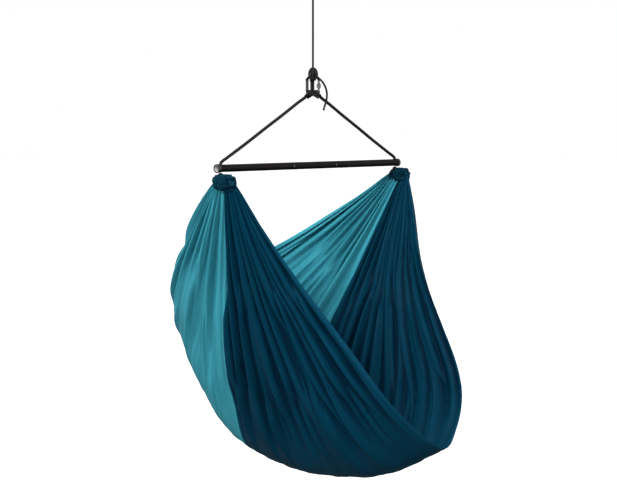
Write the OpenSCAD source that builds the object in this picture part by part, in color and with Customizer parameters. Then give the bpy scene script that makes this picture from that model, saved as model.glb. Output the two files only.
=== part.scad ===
// Hanging hammock chair. A two-panel fabric sling is gathered at both ends and hangs from
// the ends of a tubular spreader bar. A rope bridle joins the bar to a carabiner, and one
// cord holds the carabiner. Millimetres, +Z up. The bar runs along X and the sitter faces -Y.
// The origin is the point where the ceiling hook bears in the cord's top loop.

/* [Spreader bar] */
// Overall length of the spreader bar
bar_length = 900; // [860:10:940]
// Outside diameter of the bar's tube
bar_diameter = 25; // [24:1:26]
// Wall thickness of the bar's tube
bar_wall = 1.5; // [1.2:0.1:1.6]
// Length of the inner tube that joins the two halves
connector_length = 260; // [240:10:280]

/* [Ropes] */
// Height of the carabiner's basket above the bar's axis
bridle_rise = 243; // [238:1:248]
// Diameter of the bridle rope
rope_diameter = 10; // [9:0.5:10]
// Diameter of the hanging cord
cord_diameter = 7; // [6:0.5:7]
// Length of the hanging cord between its two knots
cord_length = 262; // [220:1:300]

/* [Carabiner] */
// Diameter of the carabiner's rod
rod_diameter = 10; // [9:0.5:10]
// Turn of the carabiner about the vertical, against the bar
carabiner_turn = -45; // [-60:5:-30]

/* [Sling] */
// Depth of the sling's lowest point below the bar's axis
sling_drop = 1075; // [1025:10:1115]
// Reach of the sling behind the bar
back_reach = 625; // [595:10:655]
// Reach of the sling's front hem in front of the bar
front_reach = 620; // [580:10:660]
// Lean of the sling's middle towards the left end of the bar
lean = 25; // [0:5:30]
// Thickness of the back panel's solid
back_thickness = 2; // [2:0.5:3]
// Thickness of the seat panel's solid
seat_thickness = 4; // [3:0.5:5]
// Place of the seam, as a share of the cloth's width from the back hem
seam_place = 0.48; // [0.44:0.01:0.54]

/* [Hidden] */

cord_r = cord_diameter / 2;
rope_r = rope_diameter / 2;
rod_r = rod_diameter / 2;
bar_r = bar_diameter / 2;
bore_r = bar_r - bar_wall;
clear = 0.3;        // gap between pieces that move against each other
seat_fit = 0.05;    // gap between pieces that are pushed together
round_fn = 64;

// Heights, down from the hook
top_knot_z = -84;
top_knot_r = 12.5;
cord_top_z = top_knot_z - top_knot_r - clear;
cord_bottom_z = cord_top_z - cord_length;
knot_height = 93;   // from the basket's centre line to the top of the carabiner knot
basket_z = cord_bottom_z - clear - knot_height;
bar_z = basket_z - bridle_rise;

// Carabiner centre line: an oblong with round corners, in its own plane
corner_r = 12;
half_flat = 8;                        // half of the straight part of the basket
side_x = half_flat + corner_r;
side_low = corner_r;
side_high = 48;
roof_z = side_high + corner_r;        // centre line of the top of the carabiner
gate_r = 4.2;
pivot_z = side_low + 4;
tang = 3;                             // thickness of the flat tongues at the gate's ends
gate_top = side_high - 0.6;

// Bar details
rope_hole_x = bar_length / 2 - 18;
ring_length = 10;
ring_lip = 1.5;
button_x = 105;
button_r = 3.5;
button_proud = 2.5;
knot_r = 9;
knot_z = -bar_r - clear - knot_r;     // stopper knot, below the bar's axis

// Gathers: the oblong ring of scrunched channel at each end of the sling, seen along the bar
gather_y = -21;
gather_z = -44;
gather_flat = 22;                     // half of the ring's straight part
gather_r = 16;                        // radius of its round ends
cloth_ry = 42;                        // half axes of the oval where the cloth goes into the channel
cloth_rz = 20;
channel_r = 12;
loop_r = 4;

// Sling outline midway between the gathers, from the back hem to the front hem.
// Across: share of the reach behind (+) or in front (-) of the bar. Down: share of the drop.
outline = [[0.79, 0.36], [1.0, 0.53], [0.87, 0.76], [0.60, 0.93], [0.15, 1.0],
    [-0.29, 0.99], [-0.64, 0.94], [-1.0, 0.83]];
// How round the lengthwise curves are, from the back hem to the front hem
roundness = [2.4, 1.6, 1.55, 1.6];
cloth_end = 0.963;                    // share of the half length where the cloth meets its channel
hem_share = 0.007;                    // width of a hem or half a seam, as a share of the cloth's width
steps_along = 40;

// ---------- helpers ----------

function unit(a) = a / norm(a);

// Value of a list of points at place v, 0 to 1, on a smooth curve through them
function spline(p, v) =
    let(n = len(p) - 1, s = v * n, i = min(floor(s), n - 1), f = s - i,
        b = p[i], c = p[i + 1],
        a = i > 0 ? p[i - 1] : 2 * b - c,
        d = i + 2 <= n ? p[i + 2] : 2 * c - b)
    0.5 * (2 * b + (c - a) * f + (2 * a - 5 * b + 4 * c - d) * f * f
        + (3 * b - a - 3 * c + d) * f * f * f);

// Frames along a path: each side vector is the last one turned as little as possible
function path_tangent(p, i) = unit(p[min(i + 1, len(p) - 1)] - p[max(i - 1, 0)]);
function first_side(t) = unit(cross(t, abs(t[1]) < 0.9 ? [0, 1, 0] : [1, 0, 0]));
function path_sides(p, i = 0, last = undef) =
    let(t = path_tangent(p, i),
        s = is_undef(last) ? first_side(t) : unit(last - (last * t) * t))
    i == len(p) - 1 ? [s] : concat([s], path_sides(p, i + 1, s));

// A tube along the points of path. radii is one radius, or one for each point.
module tube(path, radii, sides = 10) {
    side = path_sides(path);
    rings = len(path);
    points = [for (i = [0:rings - 1])
        let(t = path_tangent(path, i), u = side[i], w = cross(t, u),
            r = is_list(radii) ? radii[i] : radii)
        for (k = [0:sides - 1])
            path[i] + r * (cos(360 * k / sides) * u + sin(360 * k / sides) * w)];
    faces = concat(
        [[for (k = [0:sides - 1]) k]],
        [[for (k = [sides - 1:-1:0]) (rings - 1) * sides + k]],
        [for (i = [0:rings - 2]) for (k = [0:sides - 1]) for (half = [0, 1])
            let(k2 = (k + 1) % sides, a = i * sides, b = a + sides)
            half == 0 ? [a + k, b + k, b + k2] : [a + k, b + k2, a + k2]]);
    polyhedron(points, faces, convexity = 8);
}

// A smooth path of n steps through a few points
function smooth(p, n) = [for (i = [0:n]) spline(p, i / n)];

module ring(major, minor) {
    rotate_extrude($fn = round_fn) translate([major, 0]) circle(minor, $fn = 32);
}

// Moves a piece from the bar's own frame, or the carabiner's, to the chair's
module at_bar() { translate([0, 0, bar_z]) children(); }
module at_carabiner() { translate([0, 0, basket_z]) rotate([0, 0, carabiner_turn]) children(); }

// ---------- hanging cord ----------

module top_loop() {
    leg = unit([4, 0, 12]) * (top_knot_r + clear);
    half = [[leg[0], 0, top_knot_z + leg[2]], [11, 0, -58], [17, 0, -38], [16, 0, -14]];
    crown = [[9, 0, 0], [0, 0, cord_r], [-9, 0, 0]];
    other = [for (i = [len(half) - 1:-1:0]) [-half[i][0], 0, half[i][2]]];
    color([0.10, 0.10, 0.11]) tube(smooth(concat(half, crown, other), 36), cord_r);
}

module top_knot() {
    turns = [[4.5, -7], [8.5, 0], [4.5, 7]];
    color([0.10, 0.10, 0.11]) translate([0, 0, top_knot_z]) union() {
        cylinder(r = 6, h = 20, center = true, $fn = 48);
        for (turn = turns) translate([0, 0, turn[1]]) ring(turn[0], 4);
    }
}

module hanging_cord() {
    steps = 14;
    route = [for (i = [0:steps]) [0, 0, cord_top_z - cord_length * i / steps]];
    color([0.12, 0.12, 0.13]) tube(route, cord_r);
}

// ---------- carabiner ----------

// Quarter ring of rod, from the direction start round the corner's centre
module rod_corner(x, z, start, r) {
    translate([x, 0, z]) rotate([90, 0, 0]) rotate([0, 0, start])
        rotate_extrude(angle = 90, $fn = round_fn) translate([corner_r, 0]) circle(r, $fn = 32);
}

// Rod of the carabiner, all but the gate's side
module rod(r) {
    translate([-half_flat, 0, 0]) rotate([0, 90, 0]) cylinder(r = r, h = 2 * half_flat, $fn = 32);
    translate([-half_flat, 0, roof_z]) rotate([0, 90, 0])
        cylinder(r = r, h = 2 * half_flat, $fn = 32);
    translate([-side_x, 0, side_low]) cylinder(r = r, h = side_high - side_low, $fn = 32);
    rod_corner(-half_flat, side_low, 180, r);
    rod_corner(half_flat, side_low, 270, r);
    rod_corner(half_flat, side_high, 0, r);
    rod_corner(-half_flat, side_high, 90, r);
}

module carabiner_body() {
    nose_low = side_high - 8;
    pin_z = nose_low + 3;
    color([0.20, 0.20, 0.21]) at_carabiner() union() {
        rod(rod_r);
        // Foot tongue, which the gate's fork straddles
        difference() {
            translate([side_x - 3.2, -tang / 2, side_low - 1]) cube([6.4, tang, pivot_z - side_low + 4]);
            translate([side_x, 0, pivot_z]) rotate([90, 0, 0])
                cylinder(r = 1.6, h = 10, center = true, $fn = 32);
        }
        // Nose tongue with a notch, open inwards, for the latch pin
        difference() {
            translate([side_x - 2.8, -tang / 2, nose_low]) cube([5.6, tang, side_high - nose_low + 1]);
            translate([side_x, 0, pin_z]) rotate([90, 0, 0])
                cylinder(r = 1.6, h = 10, center = true, $fn = 32);
            translate([side_x - 6, -5, pin_z - 1.6]) cube([6, 10, 3.2]);
        }
    }
}

module carabiner_gate() {
    slot = tang + 2 * clear;
    color([0.30, 0.30, 0.31]) at_carabiner() difference() {
        union() {
            translate([side_x, 0, pivot_z]) cylinder(r = gate_r, h = gate_top - pivot_z, $fn = 48);
            translate([side_x, 0, pivot_z]) rotate([90, 0, 0])
                cylinder(r = 3.6, h = 2 * gate_r - 0.6, center = true, $fn = 48);
        }
        // Slot for the nose tongue, and the fork round the foot tongue
        translate([side_x - 10, -slot / 2, gate_top - 8.4]) cube([20, slot, 20]);
        translate([side_x - 10, -slot / 2, pivot_z - 10]) cube([20, slot, 15]);
        // Holes for the two pins, and the spring's blind bore
        translate([side_x, 0, pivot_z]) rotate([90, 0, 0])
            cylinder(r = 1.55, h = 20, center = true, $fn = 32);
        translate([side_x, 0, side_high - 5]) rotate([90, 0, 0])
            cylinder(r = 1.25, h = 20, center = true, $fn = 32);
        translate([side_x, 0, pivot_z + 4]) cylinder(r = 1.9, h = 15, $fn = 32);
    }
}

module gate_sleeve() {
    grips = 16;
    sleeve_low = pivot_z + 7;
    sleeve_length = 14;
    sleeve_r = 7;
    color([0.42, 0.42, 0.43]) at_carabiner() translate([side_x, 0, sleeve_low]) difference() {
        cylinder(r = sleeve_r, h = sleeve_length, $fn = 64);
        translate([0, 0, -1]) cylinder(r = gate_r + 0.08, h = sleeve_length + 2, $fn = 64);
        for (k = [0:grips - 1]) rotate([0, 0, 360 * k / grips])
            translate([sleeve_r + 0.35, 0, 2]) cylinder(r = 0.8, h = sleeve_length - 4, $fn = 16);
    }
}

module gate_pin() {
    color([0.62, 0.62, 0.64]) at_carabiner() translate([side_x, 0, pivot_z]) rotate([90, 0, 0])
        cylinder(r = 1.5, h = 2 * gate_r, center = true, $fn = 32);
}

module latch_pin() {
    color([0.62, 0.62, 0.64]) at_carabiner() translate([side_x, 0, side_high - 5]) rotate([90, 0, 0])
        cylinder(r = 1.2, h = 2 * gate_r - 1, center = true, $fn = 32);
}

module gate_spring() {
    turns = 6;
    steps = 10;
    coil = [for (i = [0:turns * steps])
        [1.2 * cos(360 * i / steps), 1.2 * sin(360 * i / steps), 13 * i / (turns * steps)]];
    color([0.7, 0.7, 0.72]) at_carabiner() translate([side_x, 0, pivot_z + 5])
        tube(coil, 0.3, sides = 6);
}

module carabiner_knot() {
    wrap = rod_r + cord_r + 0.2;
    pitch = cord_diameter + 0.2;
    color([0.10, 0.10, 0.11]) at_carabiner() difference() {
        union() {
            // Turns round the roof of the carabiner, and one round its left shoulder
            for (i = [-1:1]) translate([i * pitch, 0, roof_z]) rotate([0, 90, 0]) ring(wrap, cord_r);
            translate([-half_flat - corner_r * sin(45), 0, side_high + corner_r * cos(45)])
                rotate([0, 45, 0]) ring(wrap, cord_r);
            // Turns of the barrel round the standing cord
            for (turn = [[9.6, 73], [9.2, 79.4], [6.4, 85.6]])
                translate([0, 0, turn[1]]) ring(turn[0], 4);
            translate([0, 0, 68]) cylinder(r = 9, h = 18, $fn = 48);
            translate([0, 0, 84]) cylinder(r1 = 8, r2 = 4.2, h = knot_height - 84, $fn = 48);
            // Strand that runs down through the carabiner to its basket
            cylinder(r = 3, h = roof_z, $fn = 32);
        }
        rod(rod_r + 0.1);
        translate([-10, -10, -1]) cube([20, 20, rod_r + 1.1]);
    }
}

module cord_tail() {
    route = [[10.6, -11.4, 62], [17, -12.5, 58], [26, -11, 50], [36, -9, 38], [44, -7, 22],
        [48, -6, 2], [46, -6, -20], [39, -6, -44]];
    color([0.12, 0.12, 0.13]) at_carabiner() tube(smooth(route, 20), cord_r);
}

module tail_knot() {
    color([0.10, 0.10, 0.11]) at_carabiner() translate([37.5, -6, -49.2]) rotate([0, 17, 0]) union() {
        for (z = [-2.6, 2.6]) translate([0, 0, z]) ring(3.2, 2.6);
        cylinder(r = 3.4, h = 9.4, center = true, $fn = 32);
    }
}

// ---------- bridle ----------

module bridle_hitch() {
    slack = 1.2;
    wrap = rod_r + rope_r + slack;
    corner = corner_r * sin(45);
    cross_strand = [[-20, -11.2, 14], [-13, -11.8, 10], [-5, -12.3, 4], [5, -12.3, -2], [13, -11.8, -7],
        [20, -11.2, -11]];
    color([0.09, 0.09, 0.10]) at_carabiner() union() {
        for (s = [-1, 1]) translate([s * (half_flat + corner), 0, side_low - corner])
            rotate([0, 90 - 45 * s, 0]) ring(wrap, rope_r);
        tube(smooth(cross_strand, 14), rope_r);
    }
}

// Route of the left leg in the bar's frame, from the hitch to the stopper knot
leg_route = [[-24, 18, 231], [-60, 15, 214], [-140, 11, 171], [-220, 8, 129], [-300, 5, 86],
    [-370, 2, 50], [-404, 0, 33], [-420, 0, 25], [-429.5, 0, 18], [-432, 0, 9], [-432, 0, -2],
    [-432, 0, -12]];

module bridle_leg(s) {
    steps = 44;
    route = [for (p = smooth(leg_route, steps)) [-s * p[0], -s * p[1], p[2]]];
    color([0.09, 0.09, 0.10]) at_bar() tube(route, rope_r, sides = 12);
}
module bridle_left() { bridle_leg(-1); }
module bridle_right() { bridle_leg(1); }

module stopper_knot(s) {
    color([0.09, 0.09, 0.10]) at_bar() translate([s * rope_hole_x, 0, knot_z])
        sphere(r = knot_r, $fn = 48);
}
module stopper_knot_left() { stopper_knot(-1); }
module stopper_knot_right() { stopper_knot(1); }

// ---------- spreader bar ----------

// One half of the bar, drilled for the bridle rope and for the snap button
module bar_half(s) {
    rope_hole_r = rope_r + 0.7;
    half = bar_length / 2 - ring_lip;
    color([0.13, 0.12, 0.12]) at_bar() difference() {
        translate([s > 0 ? seat_fit : -half, 0, 0]) rotate([0, 90, 0])
            cylinder(r = bar_r, h = half - seat_fit, $fn = round_fn);
        translate([s > 0 ? -1 : -half - 1, 0, 0]) rotate([0, 90, 0])
            cylinder(r = bore_r, h = half + 2, $fn = round_fn);
        translate([s * rope_hole_x, 0, 0])
            cylinder(r = rope_hole_r, h = 2 * bar_diameter, center = true, $fn = 48);
        translate([s * button_x, 0, 0]) rotate([90, 0, 0])
            cylinder(r = button_r + clear, h = bar_diameter, $fn = 48);
    }
}
module bar_left() { bar_half(-1); }
module bar_right() { bar_half(1); }

module bar_connector() {
    wall = 1.5;
    outer_r = bore_r - seat_fit;
    color([0.66, 0.66, 0.68]) at_bar() difference() {
        rotate([0, 90, 0]) cylinder(r = outer_r, h = connector_length, center = true, $fn = round_fn);
        rotate([0, 90, 0])
            cylinder(r = outer_r - wall, h = connector_length + 2, center = true, $fn = round_fn);
        for (s = [-1, 1]) translate([s * button_x, 0, 0]) rotate([90, 0, 0])
            cylinder(r = button_r + clear, h = bar_diameter, $fn = 48);
    }
}

module snap_button(s) {
    inner_y = 6.5;
    color([0.75, 0.75, 0.77]) at_bar() translate([s * button_x, -inner_y, 0]) rotate([90, 0, 0])
        union() {
            cylinder(r = button_r, h = bar_r + button_proud - inner_y - 1, $fn = 48);
            cylinder(r = button_r - 1, h = bar_r + button_proud - inner_y, $fn = 48);
        }
}
module snap_button_left() { snap_button(-1); }
module snap_button_right() { snap_button(1); }

// V spring behind a button: a strip from the button to the far wall of the connector
module button_spring(s) {
    strip = [[-3, -6.4], [3, -6.4], [3, -5.8], [20, 7.4], [20, 8.2], [-3, 8.2], [-3, 7.6],
        [18.2, 7.6], [2.4, -5.7], [-3, -5.7]];
    color([0.7, 0.7, 0.72]) at_bar() translate([s * button_x, 0, -2])
        linear_extrude(4) scale([s, 1]) polygon(strip);
}
module button_spring_left() { button_spring(-1); }
module button_spring_right() { button_spring(1); }

// Moulded ring over the open end of the tube
module bar_end_ring(s) {
    ring_r = bar_r + 2;
    color([0.08, 0.08, 0.08]) at_bar() translate([s * bar_length / 2, 0, 0]) rotate([0, -90 * s, 0])
        difference() {
            cylinder(r = ring_r, h = ring_length, $fn = round_fn);
            translate([0, 0, -1]) cylinder(r = bore_r, h = ring_length + 2, $fn = round_fn);
            translate([0, 0, ring_lip]) cylinder(r = bar_r + seat_fit, h = ring_length, $fn = round_fn);
        }
}
module bar_end_ring_left() { bar_end_ring(-1); }
module bar_end_ring_right() { bar_end_ring(1); }

// ---------- sling ----------

// Point of the gather's oblong ring at angle a, in the bar's frame
function oblong(c) = 1.072 * c / sqrt(c * c + 0.15);
function gather_point(s, a) =
    [s * rope_hole_x, gather_y + gather_flat * oblong(cos(a)) + gather_r * cos(a),
     gather_z + gather_r * sin(a)];

// Start of a loop's end: on the stopper knot, towards the point p
function off_knot(s, p) =
    let(c = [s * rope_hole_x, 0, knot_z]) c + unit(p - c) * (knot_r + 2 * clear);

channel_from = 25;
channel_to = -235;

module end_loop(s) {
    steps = 20;
    arc = [for (i = [0:steps])
        gather_point(s, channel_from + (channel_to - channel_from) * i / steps)];
    route = concat([off_knot(s, arc[0])], arc, [off_knot(s, arc[steps])]);
    color([0.25, 0.27, 0.28]) at_bar() tube(route, loop_r, sides = 8);
}
module end_loop_left() { end_loop(-1); }
module end_loop_right() { end_loop(1); }

// The sling's end, sewn into a sleeve and scrunched on its loop
module end_channel(s) {
    steps = 48;
    ruffles = 12;
    route = [for (i = [0:steps])
        gather_point(s, channel_from + (channel_to - channel_from) * i / steps)];
    radii = [for (i = [0:steps]) channel_r * (0.9 + 0.1 * cos(360 * ruffles * i / steps))];
    color([0.03, 0.16, 0.22]) at_bar() tube(route, radii, sides = 12);
}
module end_channel_left() { end_channel(-1); }
module end_channel_right() { end_channel(1); }

// Middle surface of the cloth. t runs from one gather (-1) to the other (1), and v across
// the cloth from the back hem (0) to the front hem (1).
// The front of the right side bulges outwards low down, and pulls in higher up
function ease(x) = let(f = max(0, min(1, x))) f * f * (3 - 2 * f);
function swell(t, v, q) =
    ease((v - 0.5) / 0.35) * ease(t / 0.3)
        * (60 * exp(-pow((q - 0.80) / 0.17, 2)) - 45 * exp(-pow((q - 0.34) / 0.2, 2)));

function reach(share) = share > 0 ? share * back_reach : share * front_reach;
function cloth(t, v) =
    let(q = 1 - pow(abs(t), spline(roundness, v)),
        p = spline(outline, v),
        a = 20 - 220 * v,
        end_y = gather_y + cloth_ry * cos(a),
        end_z = gather_z + cloth_rz * sin(a))
    [rope_hole_x * t - lean * q + swell(t, v, q), reach(p[0]) * q + end_y * (1 - q),
     -sling_drop * p[1] * q + end_z * (1 - q)];

function cloth_normal(t, v) =
    let(d = 0.004, v1 = max(v - d, 0), v2 = min(v + d, 1))
    unit(cross(cloth(t + d, v) - cloth(t - d, v), cloth(t, v2) - cloth(t, v1)));

// Closed sheet of cloth between v0 and v1. Steps crowd towards the gathers.
module cloth_sheet(v0, v1, steps_across, thickness) {
    m = steps_along;
    n = steps_across;
    stride = n + 1;
    layer = (m + 1) * stride;
    points = [for (side = [0.5, -0.5]) for (i = [0:m]) for (j = [0:n])
        let(t = cloth_end * sin(90 * (2 * i / m - 1)), v = v0 + (v1 - v0) * j / n)
        cloth(t, v) + side * thickness * cloth_normal(t, v)];
    faces = concat(
        [for (i = [0:m - 1]) for (j = [0:n - 1]) for (half = [0, 1])
            let(a = i * stride + j, b = a + stride)
            half == 0 ? [a, b, b + 1] : [a, b + 1, a + 1]],
        [for (i = [0:m - 1]) for (j = [0:n - 1]) for (half = [0, 1])
            let(a = layer + i * stride + j, b = a + stride)
            half == 0 ? [a, b + 1, b] : [a, a + 1, b + 1]],
        [for (i = [0:m - 1]) for (j = [0, n]) for (half = [0, 1])
            let(a = i * stride + j, b = a + stride, c = layer + a, d = layer + b)
            j == 0 ? (half == 0 ? [a, c, d] : [a, d, b]) : (half == 0 ? [a, d, c] : [a, b, d])],
        [for (j = [0:n - 1]) for (i = [0, m]) for (half = [0, 1])
            let(a = i * stride + j, b = a + 1, c = layer + a, d = layer + b)
            i == 0 ? (half == 0 ? [a, d, c] : [a, b, d]) : (half == 0 ? [a, c, d] : [a, d, b])]);
    at_bar() polyhedron(points, faces, convexity = 10);
}

module back_panel() {
    color([0.18, 0.53, 0.60])
        cloth_sheet(hem_share, seam_place - hem_share / 2, 14, back_thickness);
}

module seat_panel() {
    color([0.03, 0.20, 0.30])
        cloth_sheet(seam_place + hem_share / 2, 1 - hem_share, 14, seat_thickness);
}

module panel_seam() {
    color([0.05, 0.26, 0.34])
        cloth_sheet(seam_place - hem_share / 2, seam_place + hem_share / 2, 1, seat_thickness + 1);
}

module back_hem() { color([0.15, 0.48, 0.55]) cloth_sheet(0, hem_share, 1, back_thickness + 2); }
module front_hem() { color([0.03, 0.15, 0.24]) cloth_sheet(1 - hem_share, 1, 1, seat_thickness + 1); }

top_loop();
top_knot();
hanging_cord();
carabiner_knot();
cord_tail();
tail_knot();
carabiner_body();
carabiner_gate();
gate_sleeve();
gate_pin();
latch_pin();
gate_spring();
bridle_hitch();
bridle_left();
bridle_right();
bar_left();
bar_right();
bar_connector();
snap_button_left();
snap_button_right();
button_spring_left();
button_spring_right();
bar_end_ring_left();
bar_end_ring_right();
stopper_knot_left();
stopper_knot_right();
end_loop_left();
end_loop_right();
end_channel_left();
end_channel_right();
back_panel();
seat_panel();
panel_seam();
back_hem();
front_hem();
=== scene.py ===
"""Looks of the hanging hammock chair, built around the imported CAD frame. Metres, +Z up."""

import math

import bpy
import numpy as np
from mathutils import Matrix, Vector


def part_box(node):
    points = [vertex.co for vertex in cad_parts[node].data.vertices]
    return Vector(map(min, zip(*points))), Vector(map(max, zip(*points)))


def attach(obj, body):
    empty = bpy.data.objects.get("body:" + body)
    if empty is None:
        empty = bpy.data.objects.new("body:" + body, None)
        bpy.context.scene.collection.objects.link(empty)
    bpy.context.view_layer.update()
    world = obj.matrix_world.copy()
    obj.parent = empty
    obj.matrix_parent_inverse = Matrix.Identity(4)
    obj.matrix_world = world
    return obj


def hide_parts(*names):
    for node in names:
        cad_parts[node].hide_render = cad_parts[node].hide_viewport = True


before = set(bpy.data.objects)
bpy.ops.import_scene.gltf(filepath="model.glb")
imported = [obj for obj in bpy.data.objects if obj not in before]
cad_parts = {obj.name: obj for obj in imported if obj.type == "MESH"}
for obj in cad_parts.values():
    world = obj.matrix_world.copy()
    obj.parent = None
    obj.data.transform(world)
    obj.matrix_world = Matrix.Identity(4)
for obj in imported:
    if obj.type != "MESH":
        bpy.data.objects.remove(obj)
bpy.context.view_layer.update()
scene = bpy.context.scene


# ---------- places taken from the frame ----------

def middle(node):
    low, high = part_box(node)
    return (low + high) / 2


bar_z = middle("bar_left").z
rope_x = middle("stopper_knot_right").x
knot_z = middle("stopper_knot_right").z
rod_r = 0.005
basket_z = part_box("carabiner_body")[0].z + rod_r
cord_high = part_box("hanging_cord")[1].z
cord_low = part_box("hanging_cord")[0].z
top_knot_z = middle("top_knot").z
TURN = math.radians(-45)          # the carabiner's turn about the vertical


# ---------- small geometry helpers ----------

def spline(points, at):
    """Points on a smooth curve through the given ones, at places 0 to 1."""
    p = np.asarray(points, float)
    if p.ndim == 1:
        p = p[:, None]
    p = np.vstack([2 * p[0] - p[1], p, 2 * p[-1] - p[-2]])
    n = len(p) - 3
    s = np.asarray(at, float) * n
    i = np.minimum(s.astype(int), n - 1)
    f = (s - i)[:, None]
    a, b, c, d = p[i], p[i + 1], p[i + 2], p[i + 3]
    return 0.5 * (2 * b + (c - a) * f + (2 * a - 5 * b + 4 * c - d) * f**2
                  + (3 * b - a - 3 * c + d) * f**3)


def evenly(path, step):
    """The same path with its points evenly spaced."""
    path = np.asarray(path, float)
    along = np.concatenate([[0], np.cumsum(np.linalg.norm(np.diff(path, axis=0), axis=1))])
    at = np.linspace(0, along[-1], max(2, int(round(along[-1] / step)) + 1))
    return np.stack([np.interp(at, along, path[:, k]) for k in range(3)], 1)


def noise(x, y, seed):
    """Smooth noise from -1 to 1 on a lattice of unit cells."""
    lattice = np.random.default_rng(seed).uniform(-1, 1, (128, 128))
    x, y = np.broadcast_arrays(x, y)
    i, j = np.floor(x).astype(int), np.floor(y).astype(int)
    f, g = x - i, y - j
    f, g = f * f * (3 - 2 * f), g * g * (3 - 2 * g)
    low = lattice[i % 128, j % 128] * (1 - f) + lattice[(i + 1) % 128, j % 128] * f
    high = lattice[i % 128, (j + 1) % 128] * (1 - f) + lattice[(i + 1) % 128, (j + 1) % 128] * f
    return low * (1 - g) + high * g


def between(x, low, high):
    """0 below low, 1 above high, smooth in between."""
    f = np.clip((np.asarray(x, float) - low) / (high - low), 0, 1)
    return f * f * (3 - 2 * f)


def mesh_piece(name, verts, faces, body, material, replaces=(), uv=None, groove_shade=None):
    data = bpy.data.meshes.new(name)
    data.from_pydata(np.asarray(verts, float).tolist(), [], [list(map(int, f)) for f in faces])
    data.polygons.foreach_set("use_smooth", [True] * len(data.polygons))
    if uv is not None:
        corner = np.empty(len(data.loops), int)
        data.loops.foreach_get("vertex_index", corner)
        data.uv_layers.new(name="UVMap").data.foreach_set("uv", np.asarray(uv)[corner].ravel())
    # Per-vertex amount of painted shade, by which the cord and cloth materials darken their colour
    if groove_shade is not None:
        data.attributes.new("groove_shade", "FLOAT", "POINT").data.foreach_set("value", groove_shade)
    data.update()
    data.materials.append(material)
    piece = bpy.data.objects.new(name, data)
    scene.collection.objects.link(piece)
    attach(piece, body)
    if replaces:
        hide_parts(*replaces)
    return piece


def tube(path, radius, sides=24, step=0.0009, braid=0.0, strands=8, lay=None, closed=False):
    """A round tube along a path, with the crossing strands of a braided cover if braid is set.
    Gives its vertices, faces and how deep between the strands each vertex lies, for the cord's painted
    shade."""
    path = evenly(path, step)
    if closed:
        path = path[:-1]
    n = len(path)
    ahead = np.roll(path, -1, 0) - np.roll(path, 1, 0)
    if not closed:
        ahead[0], ahead[-1] = path[1] - path[0], path[-1] - path[-2]
    ahead /= np.linalg.norm(ahead, axis=1)[:, None]
    side = np.zeros_like(ahead)
    start = np.array([0.0, 1, 0]) if abs(ahead[0][1]) < 0.9 else np.array([1.0, 0, 0])
    last = np.cross(ahead[0], start)
    for i in range(n):
        last = last - (last @ ahead[i]) * ahead[i]
        last /= np.linalg.norm(last)
        side[i] = last
    if closed:
        # Spread the twist that is left over where the ring closes
        turned = side[-1] - (side[-1] @ ahead[0]) * ahead[0]
        twist = math.atan2(np.cross(ahead[0], side[0]) @ turned, side[0] @ turned)
        across = np.cross(ahead, side)
        a = -twist * np.arange(n) / n
        side = side * np.cos(a)[:, None] + across * np.sin(a)[:, None]
    across = np.cross(ahead, side)
    angle = np.linspace(0, 2 * math.pi, sides, endpoint=False)
    radii = np.broadcast_to(np.interp(np.linspace(0, 1, n), np.linspace(0, 1, np.size(radius)),
                                      np.atleast_1d(radius)), n)
    groove_shade = np.zeros((n, sides))
    if braid:
        lay = lay or 5 * float(np.mean(radii))
        s = np.arange(n)[:, None] * step
        one = np.sin(0.5 * strands * angle[None] + math.pi * strands * s / lay)
        two = np.sin(0.5 * strands * angle[None] - math.pi * strands * s / lay)
        high = np.maximum(np.abs(one), np.abs(two)) ** 0.7
        # How deep between the strands each vertex lies, which the cord's colour darkens by as painted shade
        groove_shade = 1 - high
        r = radii[:, None] + braid * (high - 0.8)
    else:
        r = np.repeat(radii[:, None], sides, 1)
    verts = (path[:, None] + r[..., None] * (np.cos(angle)[None, :, None] * side[:, None]
                                             + np.sin(angle)[None, :, None] * across[:, None]))
    verts, groove_shade = verts.reshape(-1, 3), groove_shade.ravel()
    rings = n if closed else n - 1
    i, k = np.meshgrid(np.arange(rings), np.arange(sides), indexing="ij")
    a, b = i * sides + k, i * sides + (k + 1) % sides
    c, d = ((i + 1) % n) * sides + (k + 1) % sides, ((i + 1) % n) * sides + k
    faces = np.stack([a, b, c, d], -1).reshape(-1, 4).tolist()
    if not closed:
        tip0, tip1 = len(verts), len(verts) + 1
        verts = np.vstack([verts, path[0] - ahead[0] * 0.25 * radii[0],
                           path[-1] + ahead[-1] * 0.25 * radii[-1]])
        groove_shade = np.append(groove_shade, [0.0, 0.0])
        for q in range(sides):
            p = (q + 1) % sides
            faces.append([tip0, p, q])
            faces.append([tip1, (n - 1) * sides + q, (n - 1) * sides + p])
    return verts, faces, groove_shade


def joined(parts):
    """Several (vertices, faces, groove) as one."""
    verts, faces, grooves, at = [], [], [], 0
    for v, f, g in parts:
        verts.append(v)
        faces += [[x + at for x in face] for face in f]
        grooves.append(g)
        at += len(v)
    return np.vstack(verts), faces, np.concatenate(grooves)


def rope(name, paths, radius, body, material, braid=0.00022, replaces=(), closed=False, strands=8):
    made = joined([tube(p, radius, braid=braid, closed=closed, strands=strands) for p in paths])
    return mesh_piece(name, made[0], made[1], body, material, replaces, groove_shade=made[2])


def at_carabiner(points):
    """Points in the carabiner's own frame, moved to the row frame."""
    p = np.asarray(points, float) * 0.001
    c, s = math.cos(TURN), math.sin(TURN)
    return np.stack([p[:, 0] * c - p[:, 1] * s, p[:, 0] * s + p[:, 1] * c, p[:, 2] + basket_z], 1)


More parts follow.
